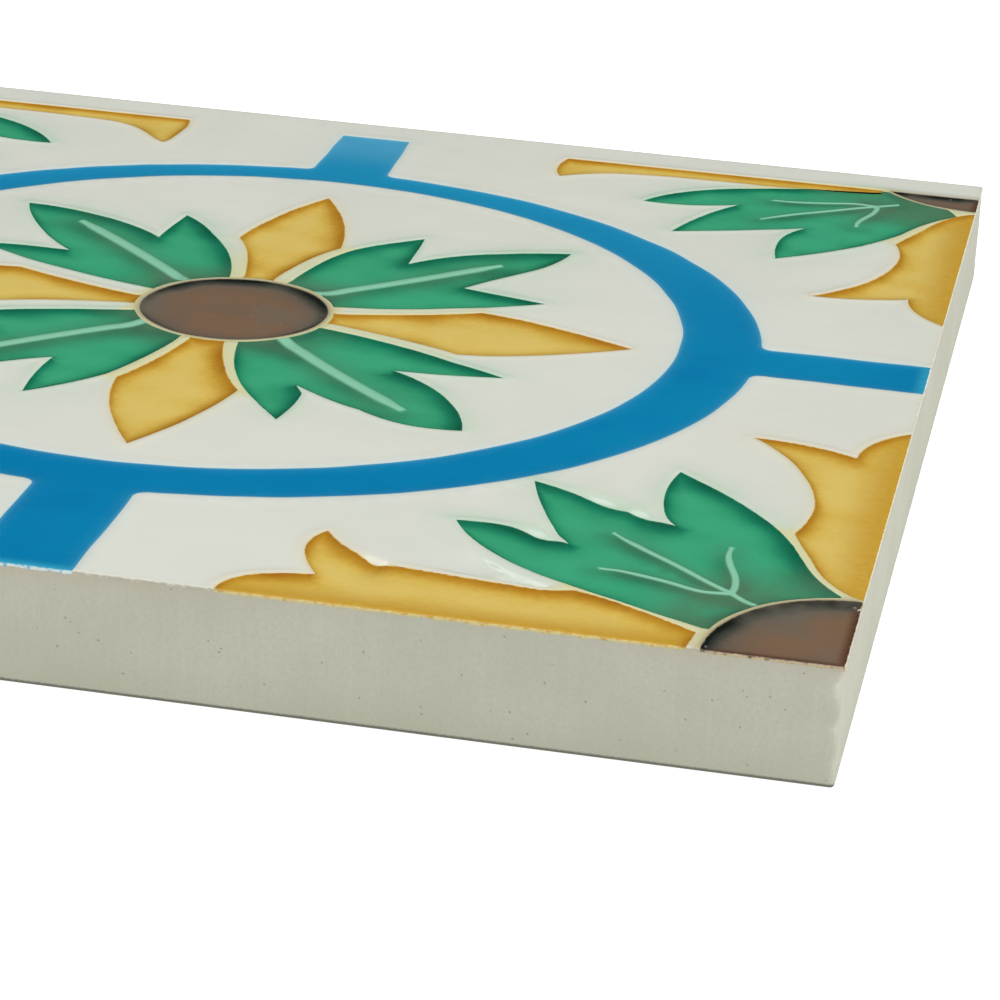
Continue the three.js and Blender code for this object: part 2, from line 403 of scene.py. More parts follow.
CORNER_DISC = (11.8, 13.7)

# The petal along the far edge, where the plain margin cuts it off. In the left corner its tip reaches nearer.
CORNER_BACK = ((46.4, 3), [
    (47.8, 6.5, 47.9, 8.5), (48, 11, 47, 12.9), (43, 9.4, 36.5, 9), (30, 8.4, 24, 8.6),
    (17, 8, 11, 6.6), (11, 3), (46.4, 3),
])
LEFT_SPUR = 2.8
# What else differs in the far corners: the disc's share of its depth, how the leaf is shifted on the right
# and on the left, and how far the foot of the side petal lies towards the far edge.
FAR_DISC = 0.77
FAR_LEAF_SHIFT = {1: (0, 1.1), -1: (-1.3, -0.3)}
FAR_FOOT = 2.6


def far_corner(b):
    """The far corners are pressed up against a plain strip along the far edge."""
    return 0.933 * b + 5.0 * math.exp(-max(b, 0) / 9)


def add_corner(k, sx, sy):
    """The quarter flower in the corner that the two signs pick."""
    far = sy > 0
    where = ("far" if far else "near") + "_" + ("right" if sx > 0 else "left")
    cx, cy = sx * HALF, sy * HALF
    rx, ry = CORNER_DISC[0], CORNER_DISC[1] * (FAR_DISC if far else 1)
    leaf_shift = np.array(FAR_LEAF_SHIFT[sx] if far else (0, 0))

    def place(a, b):
        return sx * (HALF - a), sy * (HALF - (far_corner(b) if far else b))

    def place_back(a, b):
        return sx * (HALF - a), HALF - b

    def clear_of_corner_disc(points):
        return outside_oval(points, cx, cy, rx + CORNER_RIDGE, ry + CORNER_RIDGE)

    add_cell(f"corner_disc_{where}", "brown", oval(cx, cy, rx, ry), 30 + k)
    leaf = clear_of_corner_disc(bends(*CORNER_LEAF, place) + leaf_shift)
    veins = [np.array([place(*p) for p in run]) + leaf_shift for run in CORNER_VEINS]
    add_cell(f"corner_leaf_{where}", "green", leaf, 40 + k, veins=veins)
    side = bends(*CORNER_SIDE, place)
    if far:
        from_side, from_far = HALF - abs(side[:, 0]), HALF - side[:, 1]
        side[:, 1] += FAR_FOOT * smooth(9, 0, from_side) * smooth(24, 15, from_far)
    add_cell(f"corner_petal_side_{where}", "yellow", clear_of_corner_disc(side), 60 + k)
    if far:
        name = "back"
        petal = bends(*CORNER_BACK, place_back)
        if sx < 0:
            from_left, from_far = HALF + petal[:, 0], HALF - petal[:, 1]
            petal[:, 1] -= LEFT_SPUR * smooth(38, 46, from_left) * smooth(8, 12.5, from_far)
    else:
        name = "front"
        petal = bends(*CORNER_NEAR, place)
    add_cell(f"corner_petal_{name}_{where}", "yellow", clear_of_corner_disc(petal), 50 + k)


add_ring()
add_flower()
for k, (sx, sy) in enumerate([(1, -1), (1, 1), (-1, 1), (-1, -1)]):
    add_corner(k, sx, sy)


# One fine flat net over the whole face, laid out flat with its rounded edges, that follows every outline.

# How far from an outline rows of points lie on its two sides: most cells', the ring's, and the extra rows
# on a green cell's sides in the hollows. Then those beside a vein, and the rings of points round a bead.
CELL_GAPS = (0.14, 0.32, 0.56, 0.8, 1.08, 1.5)
RING_GAPS = (0.2, 0.5)
HOLLOW_GAPS = (1.2, 1.34, 1.48, 1.62, 1.8)
VEIN_GAPS = (0, 0.16, -0.16, 0.34, -0.34, 0.6, -0.6, 1, -1)
BEAD_RINGS = (0.01, 0.12, 0.24, 0.38)
BEAD_OUTER_RING = 0.55


def edge_tree():
    points = np.concatenate([loop for cell in cells for loop in cell.loops])
    tree = KDTree(len(points))
    for i, (x, y) in enumerate(points):
        tree.insert((x, y, 0), i)
    tree.balance()
    return tree


near_edge = edge_tree()


def clear_of_edges(points, gap):
    """The points that lie farther than a gap from every outline."""
    return points[np.array([near_edge.find((x, y, 0))[2] > gap for x, y in points], bool)]


def within_domain(points):
    """The points that lie on the flat net, a little inside its border."""
    x, y = abs(points[:, 0]), abs(points[:, 1])
    gap = 0.03
    return points[(np.maximum(x, y) < SKIRT_END - gap) & (np.minimum(x, y) < ARC_END - gap)]


def near_spots(points, spots, stretch=1.0):
    """From 0 to 1, how close each point is to a spot's middle. A stretched spot reaches farther nearwards."""
    total = np.zeros(len(points))
    for x, y, reach in spots:
        dx = points[:, 0] - x
        dy = points[:, 1] - y
        dy = np.where(dy < 0, dy / stretch, dy)
        total = np.maximum(total, np.exp(-((dx**2 + dy**2) / reach**2)))
    return total


def sideways(along):
    """Unit vectors to the right of the given directions."""
    length = np.maximum(np.linalg.norm(along, axis=1), 1e-9)
    return np.stack([along[:, 1], -along[:, 0]], -1) / length[:, None]


def rows_by_outline(loop, colour):
    normal = sideways(np.roll(loop, -1, 0) - np.roll(loop, 1, 0))
    for side in (-1, 1):
        for gap in RING_GAPS if colour == "blue" else CELL_GAPS:
            every = 1 if gap < 1 else 2
            points = (loop + side * gap * normal)[::every]
            yield clear_of_edges(within_domain(points), 0.86 * gap)
    if colour == "green":
        for gap in HOLLOW_GAPS:
            for points in (loop + gap * normal, loop - gap * normal):
                yield clear_of_edges(points[near_spots(points, HOLLOWS) > 0.08], 0.4)


def rows_by_vein(run):
    normal = sideways(np.gradient(run, axis=0))
    for gap in VEIN_GAPS:
        yield clear_of_edges(run + gap * normal, 0.25)


def rings_round_bead(x, y):
    for reach in BEAD_RINGS:
        turn = np.arange(8) * math.pi / 4 + 9 * reach
        yield clear_of_edges(within_domain(polar(reach, turn) + [x, y]), 0.05)
    yield clear_of_edges(within_domain(oval(x, y, BEAD_OUTER_RING, BEAD_OUTER_RING)), 0.05)


def rows_over_ground():
    for j, y in enumerate(np.arange(-HALF, HALF, PITCH * 0.866)):
        x = np.arange(-HALF + (j % 2) * PITCH / 2, HALF, PITCH)
        points = np.stack([x, np.full_like(x, y)], -1)
        yield clear_of_edges(points[edge_distance(points) > 0.9], 0.95)


def rows_along_edges():
    """Rows of points along the four rounded edges and down the skirts."""
    along = np.arange(-ARC_END, ARC_END + STEP, STEP)
    along = along[along < ARC_END - 0.05]
    on_round = (HALF - EDGE_ROUND, HALF - EDGE_ROUND * 0.48, HALF + 0.02, ARC_END)
    for level in (HALF - 0.6, *on_round, ARC_END + SKIRT * 0.5):
        for sign in (-1, 1):
            row = np.stack([along, np.full_like(along, sign * level)], -1)
            row = row[abs(along) < min(level, ARC_END) - 0.05]
            yield clear_of_edges(row, 0.1)
            yield clear_of_edges(row[:, ::-1], 0.1)


def inner_points():
    """The net's points between the outlines."""
    rows = []
    for cell in cells:
        for loop in cell.loops:
            rows += rows_by_outline(loop, cell.colour)
        for run in cell.veins:
            rows += rows_by_vein(run)
    for x, y, _ in BEADS:
        rows += rings_round_bead(x, y)
    rows += rows_over_ground()
    rows += rows_along_edges()
    return rows


def border():
    """The outline of the flat net: a square with a notch in each corner, where two skirts meet."""
    a, s = ARC_END, SKIRT_END
    near_right = [(-a, -s), (a, -s), (a, -a), (s, -a), (s, a), (a, a)]
    far_left = [(-x, -y) for x, y in near_right]
    return evenly(np.array(near_right + far_left, float))


def face_net():
    """The net's points, its triangles, and the middle of each triangle."""
    loops = [border()] + [loop for cell in cells for loop in cell.loops]
    links = []
    count = 0
    for loop in loops:
        links += [(count + i, count + (i + 1) % len(loop)) for i in range(len(loop))]
        count += len(loop)
    flat = np.concatenate(loops + inner_points())
    verts, _, faces, *_ = delaunay_2d_cdt([tuple(map(float, p)) for p in flat], links, [], 0, 1e-5, False)
    net = np.array([tuple(v) for v in verts])
    tris = np.array([f for f in faces if len(f) == 3])
    middle = net[tris].mean(1)
    inside = (abs(middle) < SKIRT_END).all(1) & (abs(middle).min(1) < ARC_END)
    tris, middle = tris[inside], middle[inside]
    a, b, c = net[tris[:, 0]], net[tris[:, 1]], net[tris[:, 2]]
    area = (b[:, 0] - a[:, 0]) * (c[:, 1] - a[:, 1]) - (b[:, 1] - a[:, 1]) * (c[:, 0] - a[:, 0])
    tris[area < 0] = tris[area < 0][:, ::-1]
    real = abs(area) > 1e-7
    return net, tris[real], middle[real]


def in_loop(points, loop):
    """Which points lie inside a closed outline."""
    result = np.zeros(len(points), bool)
    pick = np.where(((points >= loop.min(0)) & (points <= loop.max(0))).all(1))[0]
    x, y = points[pick, 0], points[pick, 1]
    odd = np.zeros(len(pick), bool)
    for (x1, y1), (x2, y2) in zip(loop, np.roll(loop, -1, 0)):
        if y1 != y2:
            crosses = (y1 > y) != (y2 > y)
            odd ^= crosses & (x < (x2 - x1) * (y - y1) / (y2 - y1) + x1)
    result[pick] = odd
    return result


GROUND = -1


def owners(middle):
    """For each triangle the number of the cell that it lies in, or GROUND."""
    owner = np.full(len(middle), GROUND)
    for i, cell in enumerate(cells):
        hit = in_loop(middle, cell.loops[0])
        for hole in cell.loops[1:]:
            hit &= ~in_loop(middle, hole)
        owner[hit] = i
    return owner


net, tris, tri_middles = face_net()
owner = owners(tri_middles)


# Heights over the net, and the values that colours follow.


BATCH = 1000


def ways_to(points, starts, ends):
    """Batch by batch, the shortest way from each point to each of the straight lines from starts to ends."""
    step = ends - starts
    size = np.maximum((step**2).sum(1), 1e-12)
    for first in range(0, len(points), BATCH):
        p = points[first : first + BATCH, None]
        t = np.clip(((p - starts) * step).sum(2) / size, 0, 1)
        yield slice(first, first + BATCH), starts + t[..., None] * step - p


def nearest_on(points, line):
    """Distance from each point to the nearest place on an open line, and the way to it."""
    best = np.zeros(len(points))
    way = np.zeros((len(points), 2))
    for batch, to_line in ways_to(points, line[:-1], line[1:]):
        d = (to_line**2).sum(2)
        k = d.argmin(1)
        each = np.arange(len(k))
        best[batch] = np.sqrt(d[each, k])
        way[batch] = to_line[each, k]
    return best, way


def nearest_among(points, lines, closed=True, reach=4.0):
    """As nearest_on for many lines, each read a stretch at a time and only within a reach of it."""
    best = np.full(len(points), 1e9)
    way = np.zeros((len(points), 2))
    stretch = 60
    for line in lines:
        for first in range(0, len(line), stretch):
            piece = line[first : first + stretch + 1]
            if closed and first + stretch >= len(line):
                piece = np.concatenate([piece, line[:1]])
            if len(piece) < 2:
                continue
            pick = np.where(((points > piece.min(0) - reach) & (points < piece.max(0) + reach)).all(1))[0]
            if len(pick):
                d, to_line = nearest_on(points[pick], piece)
                less = d < best[pick]
                best[pick[less]] = d[less]
                way[pick[less]] = to_line[less]
    return best, way


def pooled_and_shaded(points, outline, kind):
    """How dark a cell is by its walls: widely by the walls on its far side, where the dark is painted shade,
    and narrowly by the near ones, where the glaze pools.
    """
    wide, near_share, near_reach = POOL_AND_SHADE[kind]
    wide *= 1 - FAR_SHADE_LOSS * smooth(60, 66, outline[:, 1].max())
    ends = np.roll(outline, -1, 0)
    step = ends - outline
    length = np.sqrt(np.maximum((step**2).sum(1), 1e-12))
    turn = np.sign((outline[:, 0] * ends[:, 1] - outline[:, 1] * ends[:, 0]).sum())
    normal = turn * np.stack([step[:, 1], -step[:, 0]], -1) / length[:, None]
    pool = np.zeros(len(points))
    for batch, to_wall in ways_to(points, outline, ends):
        d = np.maximum(np.sqrt((to_wall**2).sum(2)), 1e-6)
        out = to_wall / d[..., None]
        facing = smooth(-0.05, 0.35, (out * normal).sum(2))
        far = smooth(-0.35, 0.9, SHADE_TOWARDS[0] * out[..., 0] + SHADE_TOWARDS[1] * out[..., 1])
        far_wall_shade = far * np.exp(-((d / wide) ** SHADE_POWER))
        near_wall_pool = (1 - far) * near_share * np.exp(-d / near_reach)
        pool[batch] = (facing * np.maximum(far_wall_shade, near_wall_pool)).max(1)
    return pool


def cell_pool_and_shade(points, cell, to_wall):
    if cell.colour == "blue":
        pool = RING_POOL * np.exp(-to_wall / RING_POOL_REACH)
    else:
        kind = "corner_disc" if cell.name.startswith("corner_disc") else cell.colour
        pool = pooled_and_shaded(points, cell.loops[0], kind)
    return pool + POOL_AND_SHADE_WANDER * wave(points[:, 0], points[:, 1], 70, 9)


def cell_murk(points, cell):
    """How much brown has run into the green, near a corner and near the middle."""
    if cell.colour != "green":
        return np.zeros(len(points))
    from_corner = np.hypot(HALF - abs(points[:, 0]), HALF - abs(points[:, 1]))
    from_middle = np.hypot(points[:, 0], points[:, 1])
    return 0.85 * smooth(23, 14.5, from_corner) + 0.6 * smooth(16, 10, from_middle)


def vein_values(points, cell):
    """The vein itself, what lies close beside it, and how far that is on its near side, where the vein's
    painted shadow falls.
    """
    d, way = nearest_among(points, cell.veins, closed=False)
    tips = np.array([run[-1] for run in cell.veins])
    from_tip = np.sqrt(((points[:, None] - tips) ** 2).sum(2)).min(1)
    width = cell.vein_width * (0.62 + 0.38 * smooth(0, 3.5, from_tip))
    vein = np.exp(-((d / width) ** 2))
    under = smooth(-0.6, 0.8, way[:, 1] / np.maximum(d, 1e-6))
    beside = np.exp(-((d / (2.2 * width + 0.9)) ** 2)) * smooth(-1.5, 2.5, from_tip)
    return vein, beside, under


def cell_height(points, cell):
    """Heights in a cell of coloured glaze, and the values that its colour follows."""
    d = np.minimum(nearest_among(points, cell.loops)[0], 4.0)
    by_edge = EDGE_DEPTH + (1 - EDGE_DEPTH) * smooth(0, EDGE_REACH, edge_distance(points))
    dome = 1 - DOME * smooth(1.5, 4, d)
    h = RIM_LEVEL - DEPTH[cell.colour] * by_edge * (1 - np.exp(-d / WALL_WIDTH)) * dome
    h = h - LIP_DROP * near_spots(points, LIPS, LIP_STRETCH)
    moats = [(x, y, 2 * reach) for x, y, reach in BEADS]
    h = h + BEAD_HEIGHT * near_spots(points, BEADS) - BEAD_MOAT * near_spots(points, moats)
    # The dark that the colour follows: real pooling by the near walls, and painted shade by the far walls.
    pool = cell_pool_and_shade(points, cell, d)
    murk = cell_murk(points, cell)
    vein = np.zeros(len(points))
    if cell.veins:
        vein, beside, under = vein_values(points, cell)
        h = h + VEIN_HEIGHT * vein * smooth(0, 0.3, d)
        # A painted shadow beside the raised vein, strongest on its near side: the glaze is darkened there and
        # tinted murkier.
        pool = pool + 0.72 * beside * under * (1 - vein)
        murk = murk + beside * (0.35 + 0.25 * under)
    values = {"pool": np.clip(pool, 0, 1), "murk": np.clip(murk, 0, 1), "vein": vein}
    values["rim"] = np.exp(-d / RIM_WIDTH)
    return np.minimum(h, 0), values


def ground_height(points):
    """Heights of the white glaze, and the values that its colour follows."""
    unseen = 9.0
    first = np.full(len(points), unseen)
    second = np.full(len(points), unseen)
    to = {colour: np.full(len(points), unseen) for colour in DEPTH}
    behind = np.zeros(len(points))
    for cell in cells:
        d, way = nearest_among(points, cell.loops, reach=3.2)
        d = np.minimum(d, unseen)
        second = np.where(d < first, first, np.minimum(second, d))
        first = np.minimum(first, d)
        nearer = d < to[cell.colour]
        to[cell.colour] = np.minimum(to[cell.colour], d)
        if cell.colour == "green":
            behind[nearer] = -way[nearer, 1] / np.maximum(d[nearer], 1e-6)
    crest = np.exp(-(((first - CREST_AT) / np.where(first < CREST_AT, CREST_INNER, CREST_OUTER)) ** 2))
    level = GROUND_LEVEL + 0.02 * wave(points[:, 0], points[:, 1], 80, 22)
    up_to_crest = RIM_LEVEL - RIM_LEVEL * smooth(0, CREST_AT, first)
    h = np.where(first < CREST_AT, up_to_crest, level - level * crest)
    h = h - LIP_DROP * near_spots(points, LIPS, LIP_STRETCH) * smooth(LIP_WIDTH, 0, first)
    in_hollow = near_spots(points, HOLLOWS)
    hollow = in_hollow * smooth(HOLLOW_START, HOLLOW_END, to["green"])
    h = h - HOLLOW_DEPTH * hollow * smooth(0.45, 1.05, to["yellow"])
    between = smooth(2.6, 1.2, first + second)
    beside = np.maximum(smooth(-0.4, 0.7, behind), in_hollow)
    values = {
        "cream": between * smooth(1.2, 0.5, first) * smooth(1, 3.5, to["blue"]),
        "halo": np.exp(-to["green"] / 1.7) * (0.5 + 0.5 * beside),
        "warm": np.exp(-to["yellow"] / 0.5),
        "tan": np.exp(-to["brown"] / 0.42),
        "cyan": np.exp(-to["blue"] / 0.35),
    }
    return np.minimum(h, 0), values


def folded(points, h):
    """Bends the flat net over the tile's rounded top edges and down its sides."""
    out = np.zeros((len(points), 3))
    drop = np.zeros(len(points))
    for axis in (0, 1):
        p = points[:, axis]
        over = np.maximum(abs(p) - (HALF - EDGE_ROUND), 0)
        angle = np.minimum(over / EDGE_ROUND, math.pi / 2)
        reach = HALF - EDGE_ROUND + EDGE_ROUND * np.sin(angle)
        out[:, axis] = np.where(over > 0, np.sign(p) * reach, p)
        other = points[:, 1 - axis]
        ragged = 0.55 + 0.45 * wave(other, other * 0.37 + 9 * axis, 90 + axis, 1.3) * SKIRT_RAGGED
        down_skirt = np.maximum(over - EDGE_ROUND * math.pi / 2, 0)
        drop += EDGE_ROUND * (1 - np.cos(angle)) + down_skirt * ragged
    out[:, 2] = TOP + h - drop
    return out


# Materials.


class Tree:
    """Short names for building a node material."""

    def __init__(self, name):
        self.mat = bpy.data.materials.new(name)
        self.mat.use_nodes = True
        self.nodes = self.mat.node_tree.nodes
        self.links = self.mat.node_tree.links
        self.shader = self.nodes["Principled BSDF"]
        self.place = self.nodes.new("ShaderNodeTexCoord").outputs["Object"]
        split = self.nodes.new("ShaderNodeSeparateXYZ")
        self.put(self.place, split.inputs[0])
        self.x, self.y, self.z = split.outputs

    def put(self, value, socket):
        if isinstance(value, bpy.types.NodeSocket):
            self.links.new(value, socket)
        elif isinstance(value, tuple) and len(value) == 3 and socket.type == "RGBA":
            socket.default_value = (*value, 1)
        else:
            socket.default_value = value

    def node(self, kind, inputs):
        """A new node, with its inputs set or linked by name or number."""
        node = self.nodes.new(kind)
        for key, value in inputs.items():
            self.put(value, node.inputs[key])
        return node

    def attribute(self, name):
        node = self.nodes.new("ShaderNodeAttribute")
        node.attribute_name = name
        return node.outputs["Fac"]

    def math(self, kind, a, b=0.0, clamp=False):
        node = self.node("ShaderNodeMath", {0: a, 1: b})
        node.operation = kind
        node.use_clamp = clamp
        return node.outputs[0]

    def times(self, a, b, clamp=False):
        return self.math("MULTIPLY", a, b, clamp)

    def plus(self, a, b, clamp=False):
        return self.math("ADD", a, b, clamp)

    def swing(self, noise, amount):
        """Turns a noise from 0 to 1 into one to either side of 0, of the given amount."""
        return self.times(self.math("SUBTRACT", noise, 0.5), amount)

    def inward(self):
        """How far a point lies in from the tile's nearest side face, in metres."""
        reach = self.math("MAXIMUM", self.math("ABSOLUTE", self.x), self.math("ABSOLUTE", self.y))
        return self.math("SUBTRACT", HALF * MM, reach)

    def scaled(self, x, y, z):
        return self.node("ShaderNodeMapping", {"Vector": self.place, "Scale": (x, y, z)}).outputs[0]

    def noise(self, scale, detail=3.0, rough=0.55, place=None):
        inputs = {"Vector": place or self.place, "Scale": scale, "Detail": detail, "Roughness": rough}
        return self.node("ShaderNodeTexNoise", inputs).outputs["Fac"]

    def spots(self, scale, size):
        node = self.node("ShaderNodeTexVoronoi", {"Vector": self.place, "Scale": scale})
        return self.span(node.outputs["Distance"], size, size * 0.4)

    def span(self, value, start, end, low=0, high=1):
        """Goes smoothly from low where the value is at its start to high where it is at its end."""
        inputs = {"Value": value, "From Min": start, "From Max": end, "To Min": low, "To Max": high}
        node = self.node("ShaderNodeMapRange", inputs)
        node.interpolation_type = "SMOOTHSTEP"
        return node.outputs[0]

    def ramp(self, value, stops):
        node = self.node("ShaderNodeValToRGB", {0: value})
        items = node.color_ramp.elements
        while len(items) < len(stops):
            items.new(0.5)
        for item, (at, colour) in zip(items, stops):
            item.position = at
            item.color = (*colour, 1)
        return node.outputs[0]

    def mix(self, amount, a, b):
        node = self.nodes.new("ShaderNodeMix")
        node.data_type = "RGBA"
        self.put(amount, node.inputs[0])
        self.put(a, node.inputs[6])
        self.put(b, node.inputs[7])
        return node.outputs[2]

    def bump(self, height, strength, distance):
        node = self.node("ShaderNodeBump", {"Strength": strength, "Distance": distance, "Height": height})
        self.put(node.outputs[0], self.shader.inputs["Normal"])

    def finish(self, colour, rough):
        self.put(colour, self.shader.inputs["Base Color"])
        self.put(rough, self.shader.inputs["Roughness"])
        return self.mat


def glaze(name, stops, mottle=0.22, grain=0.12):
    """A clear coloured glaze whose colour follows how deep it has pooled and the painted shade by a cell's
    far walls, from the first stop to the last.
    """
    t = Tree(name)
    pool = t.plus(t.attribute("pool"), t.swing(t.noise(170, 4), mottle * 2))
    pool = t.plus(pool, t.swing(t.noise(1500, 2), grain), clamp=True)
    return t, t.ramp(pool, stops)


def with_edge(t, colour, edge_colour, edge_reach, skirt_colour):
    """The tint along the tile's edge, the ragged line where the glaze ends, and the gloss."""
    inward = t.inward()
    ragged = t.noise(1100, 4, 0.7)
    near = t.times(t.span(inward, 0, edge_reach, 1, 0), t.span(ragged, 0.3, 0.62, 0.8, 1))
    near = t.times(near, t.span(t.attribute("pool"), 0.25, 0.8, 1, 0.15))
    colour = t.mix(near, colour, edge_colour)
    skirt = t.mix(t.span(t.noise(1500, 2), 0.52, 0.64, 0, 0.6), skirt_colour, edge_colour)
    to_skirt = t.plus(inward, t.swing(ragged, 0.00036))
    colour = t.mix(t.span(to_skirt, 0.00001, 0.00008, 1, 0), colour, skirt)
    t.bump(t.noise(330, 2), 0.12, 0.0002)
    return t.finish(colour, t.span(t.noise(260, 3), 0.3, 0.7, 0.1, 0.2))


def green_glaze():
    stops = [
        (0, (0.046, 0.375, 0.197)),
        (0.25, (0.032, 0.32, 0.158)),
        (0.6, (0.01, 0.2, 0.105)),
        (1, (0.004, 0.105, 0.055)),
    ]
    murky, pale = (0.078, 0.18, 0.1), (0.28, 0.62, 0.43)
    t, colour = glaze("green_glaze", stops)
    # The murky tint is brown run into the green near the discs, and painted shade beside the veins.
    murk = t.times(t.attribute("murk"), t.span(t.noise(120, 3), 0.28, 0.58, 0.4, 1))
    colour = t.mix(murk, colour, murky)
    colour = t.mix(t.span(t.attribute("vein"), 0.25, 0.75, 0, 0.85), colour, pale)
    return with_edge(t, colour, (0.03, 0.16, 0.08), 0.0005, (0.5, 0.55, 0.35))


def yellow_glaze():
    stops = [
        (0, (0.71, 0.525, 0.14)),
        (0.22, (0.67, 0.455, 0.088)),
        (0.6, (0.51, 0.275, 0.026)),
        (1, (0.37, 0.15, 0.01)),
    ]
    t, colour = glaze("yellow_glaze", stops, mottle=0.26, grain=0.22)
    return with_edge(t, colour, (0.56, 0.325, 0.035), 0.005, (0.68, 0.58, 0.24))


def brown_glaze():
    stops = [
        (0, (0.196, 0.12, 0.072)),
        (0.3, (0.145, 0.11, 0.08)),
        (0.57, (0.052, 0.055, 0.044)),
        (0.87, (0.007, 0.01, 0.007)),
    ]
    greyish, pale = (0.145, 0.131, 0.1), (0.5, 0.42, 0.33)
    t, colour = glaze("brown_glaze", stops, mottle=0.13)
    colour = t.mix(t.span(t.noise(110, 3), 0.42, 0.66, 0, 0.7), colour, greyish)
    specks = t.times(t.spots(700, 0.08), t.span(t.noise(200, 1), 0.5, 0.55, 0, 0.5))
    colour = t.mix(specks, colour, pale)
    return with_edge(t, colour, (0.085, 0.032, 0.014), 0.0011, (0.55, 0.44, 0.26))


def blue_glaze():
    """Blue, paler in patches and at the ridges, and with a painted sheen that makes it paler towards the far
    side.
    """
    stops = [(0, (0.0, 0.196, 0.41)), (0.5, (0.0, 0.165, 0.385)), (1, (0.0, 0.135, 0.35))]
    patchy, thin = (0.003, 0.255, 0.46), (0.16, 0.46, 0.6)
    farther, farthest = (0.018, 0.31, 0.52), (0.12, 0.42, 0.62)
    t, colour = glaze("blue_glaze", stops, mottle=0.3)
    colour = t.mix(t.span(t.noise(28, 3), 0.5, 0.75, 0, 0.45), colour, patchy)
    # A painted sheen: the blue is made paler towards the far side.
    colour = t.mix(t.span(t.y, -0.01, 0.066, 0, 0.65), colour, farther)
    colour = t.mix(t.span(t.y, 0.051, 0.062, 0, 0.5), colour, farthest)
    colour = t.mix(t.times(t.attribute("rim"), 0.5), colour, thin)
    return with_edge(t, colour, (0.03, 0.33, 0.5), 0.0016, (0.66, 0.78, 0.78))


def ground_glaze():
    """White, tinted where it runs beside each colour and on the narrow ridges between two cells."""
    white, bright, yellowish = (0.68, 0.7, 0.625), (0.72, 0.73, 0.65), (0.7, 0.69, 0.58)
    by_green, edge, edge_by_brown = (0.4, 0.62, 0.44), (0.67, 0.67, 0.57), (0.5, 0.43, 0.26)
    tints = [
        ("cyan", 0.5, (0.4, 0.62, 0.68)),
        ("warm", 0.48, (0.72, 0.59, 0.31)),
        ("cream", 0.85, (0.67, 0.65, 0.37)),
        ("tan", 0.95, (0.33, 0.265, 0.15)),
    ]
    t = Tree("ground_glaze")
    colour = t.mix(t.span(t.noise(60, 4), 0.3, 0.7), white, bright)
    colour = t.mix(t.span(t.noise(22, 3), 0.5, 0.75, 0, 0.35), colour, yellowish)
    halo = t.times(t.attribute("halo"), t.span(t.noise(140, 3), 0.25, 0.7, 0.35, 0.95), clamp=True)
    colour = t.mix(t.times(halo, 0.85), colour, by_green)
    for value, share, tint in tints:
        colour = t.mix(t.times(t.attribute(value), share), colour, tint)
    edge_colour = t.mix(t.span(t.attribute("tan"), 0.03, 0.4), edge, edge_by_brown)
    return with_edge(t, colour, edge_colour, 0.0008, (0.5, 0.47, 0.38))


def clay():
    """Bare fired clay with upright cutting lines, grain and dark specks, and a painted contact shadow along
    its foot.
    """
    body, light = (0.5, 0.505, 0.41), (0.56, 0.56, 0.46)
    line, grainy = (0.48, 0.47, 0.375), (0.46, 0.455, 0.37)
    low_down, stained, fresh = (0.47, 0.455, 0.34), (0.52, 0.47, 0.37), (0.66, 0.66, 0.56)
    speck, pit, foot_shadow = (0.13, 0.115, 0.085), (0.1, 0.08, 0.05), (0.1, 0.1, 0.075)
    t = Tree("fired_clay")
    lines = t.noise(1, 3, 0.6, t.scaled(1100, 1100, 45))
    grain = t.noise(2600, 3)
    colour = t.mix(t.span(t.noise(70, 4), 0.3, 0.7), body, light)
    colour = t.mix(t.span(lines, 0.35, 0.65, 0, 0.22), colour, line)
    colour = t.mix(t.span(grain, 0.35, 0.7, 0, 0.35), colour, grainy)
    colour = t.mix(t.span(t.z, 0.0045, 0.0, 0, 0.35), colour, low_down)
    stain = t.times(t.span(t.z, 0.0085, 0.0108, 0, 0.6), t.span(t.noise(45, 3), 0.4, 0.65))
    colour = t.mix(stain, colour, stained)
    specks = t.times(t.spots(820, 0.12), t.span(t.noise(260, 2), 0.43, 0.5, 0, 0.52))
    colour = t.mix(specks, colour, speck)
    colour = t.mix(t.times(t.spots(420, 0.05), 0.7), colour, pit)
    colour = t.mix(t.attribute("broken"), colour, fresh)
    # A painted contact shadow: a dark line along the bottom of the side faces.
    above_foot = t.plus(t.z, t.times(grain, 0.0002))
    colour = t.mix(t.span(above_foot, 0.00058, 0.00036, 0, 0.88), colour, foot_shadow)
    t.bump(t.plus(t.times(lines, 0.6), t.times(grain, 0.5)), 0.35, 0.00012)
    return t.finish(colour, t.span(grain, 0.3, 0.7, 0.75, 0.92))


# Pieces.


def add_object(name, data):
    ob = bpy.data.objects.new(name, data)
    bpy.context.scene.collection.objects.link(ob)
    return ob


def piece(name, points, triangles, material, values, uv=None):
    """A visible mesh of the tile, with a value at each point for each name that its material reads."""
    mesh = bpy.data.meshes.new(name)
    mesh.vertices.add(len(points))
    mesh.vertices.foreach_set("co", (points * MM).astype(np.float32).ravel())
    mesh.loops.add(len(triangles) * 3)
    mesh.loops.foreach_set("vertex_index", triangles.astype(np.int32).ravel())
    mesh.polygons.add(len(triangles))
    mesh.polygons.foreach_set("loop_start", np.arange(0, len(triangles) * 3, 3, dtype=np.int32))
    mesh.polygons.foreach_set("use_smooth", np.ones(len(triangles), bool))
    for key, value in values.items():
        layer = mesh.attributes.new(key, "FLOAT", "POINT")
        layer.data.foreach_set("value", value.astype(np.float32))
    if uv is not None:
        layer = mesh.uv_layers.new(name="OFBake")
        layer.data.foreach_set("uv", uv[triangles.ravel()].astype(np.float32).ravel())
    mesh.update(calc_edges=True)
    mesh.validate()
    mesh.materials.append(material)
    ob = add_object(name, mesh)
    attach(ob, "root")
    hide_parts(NODE)


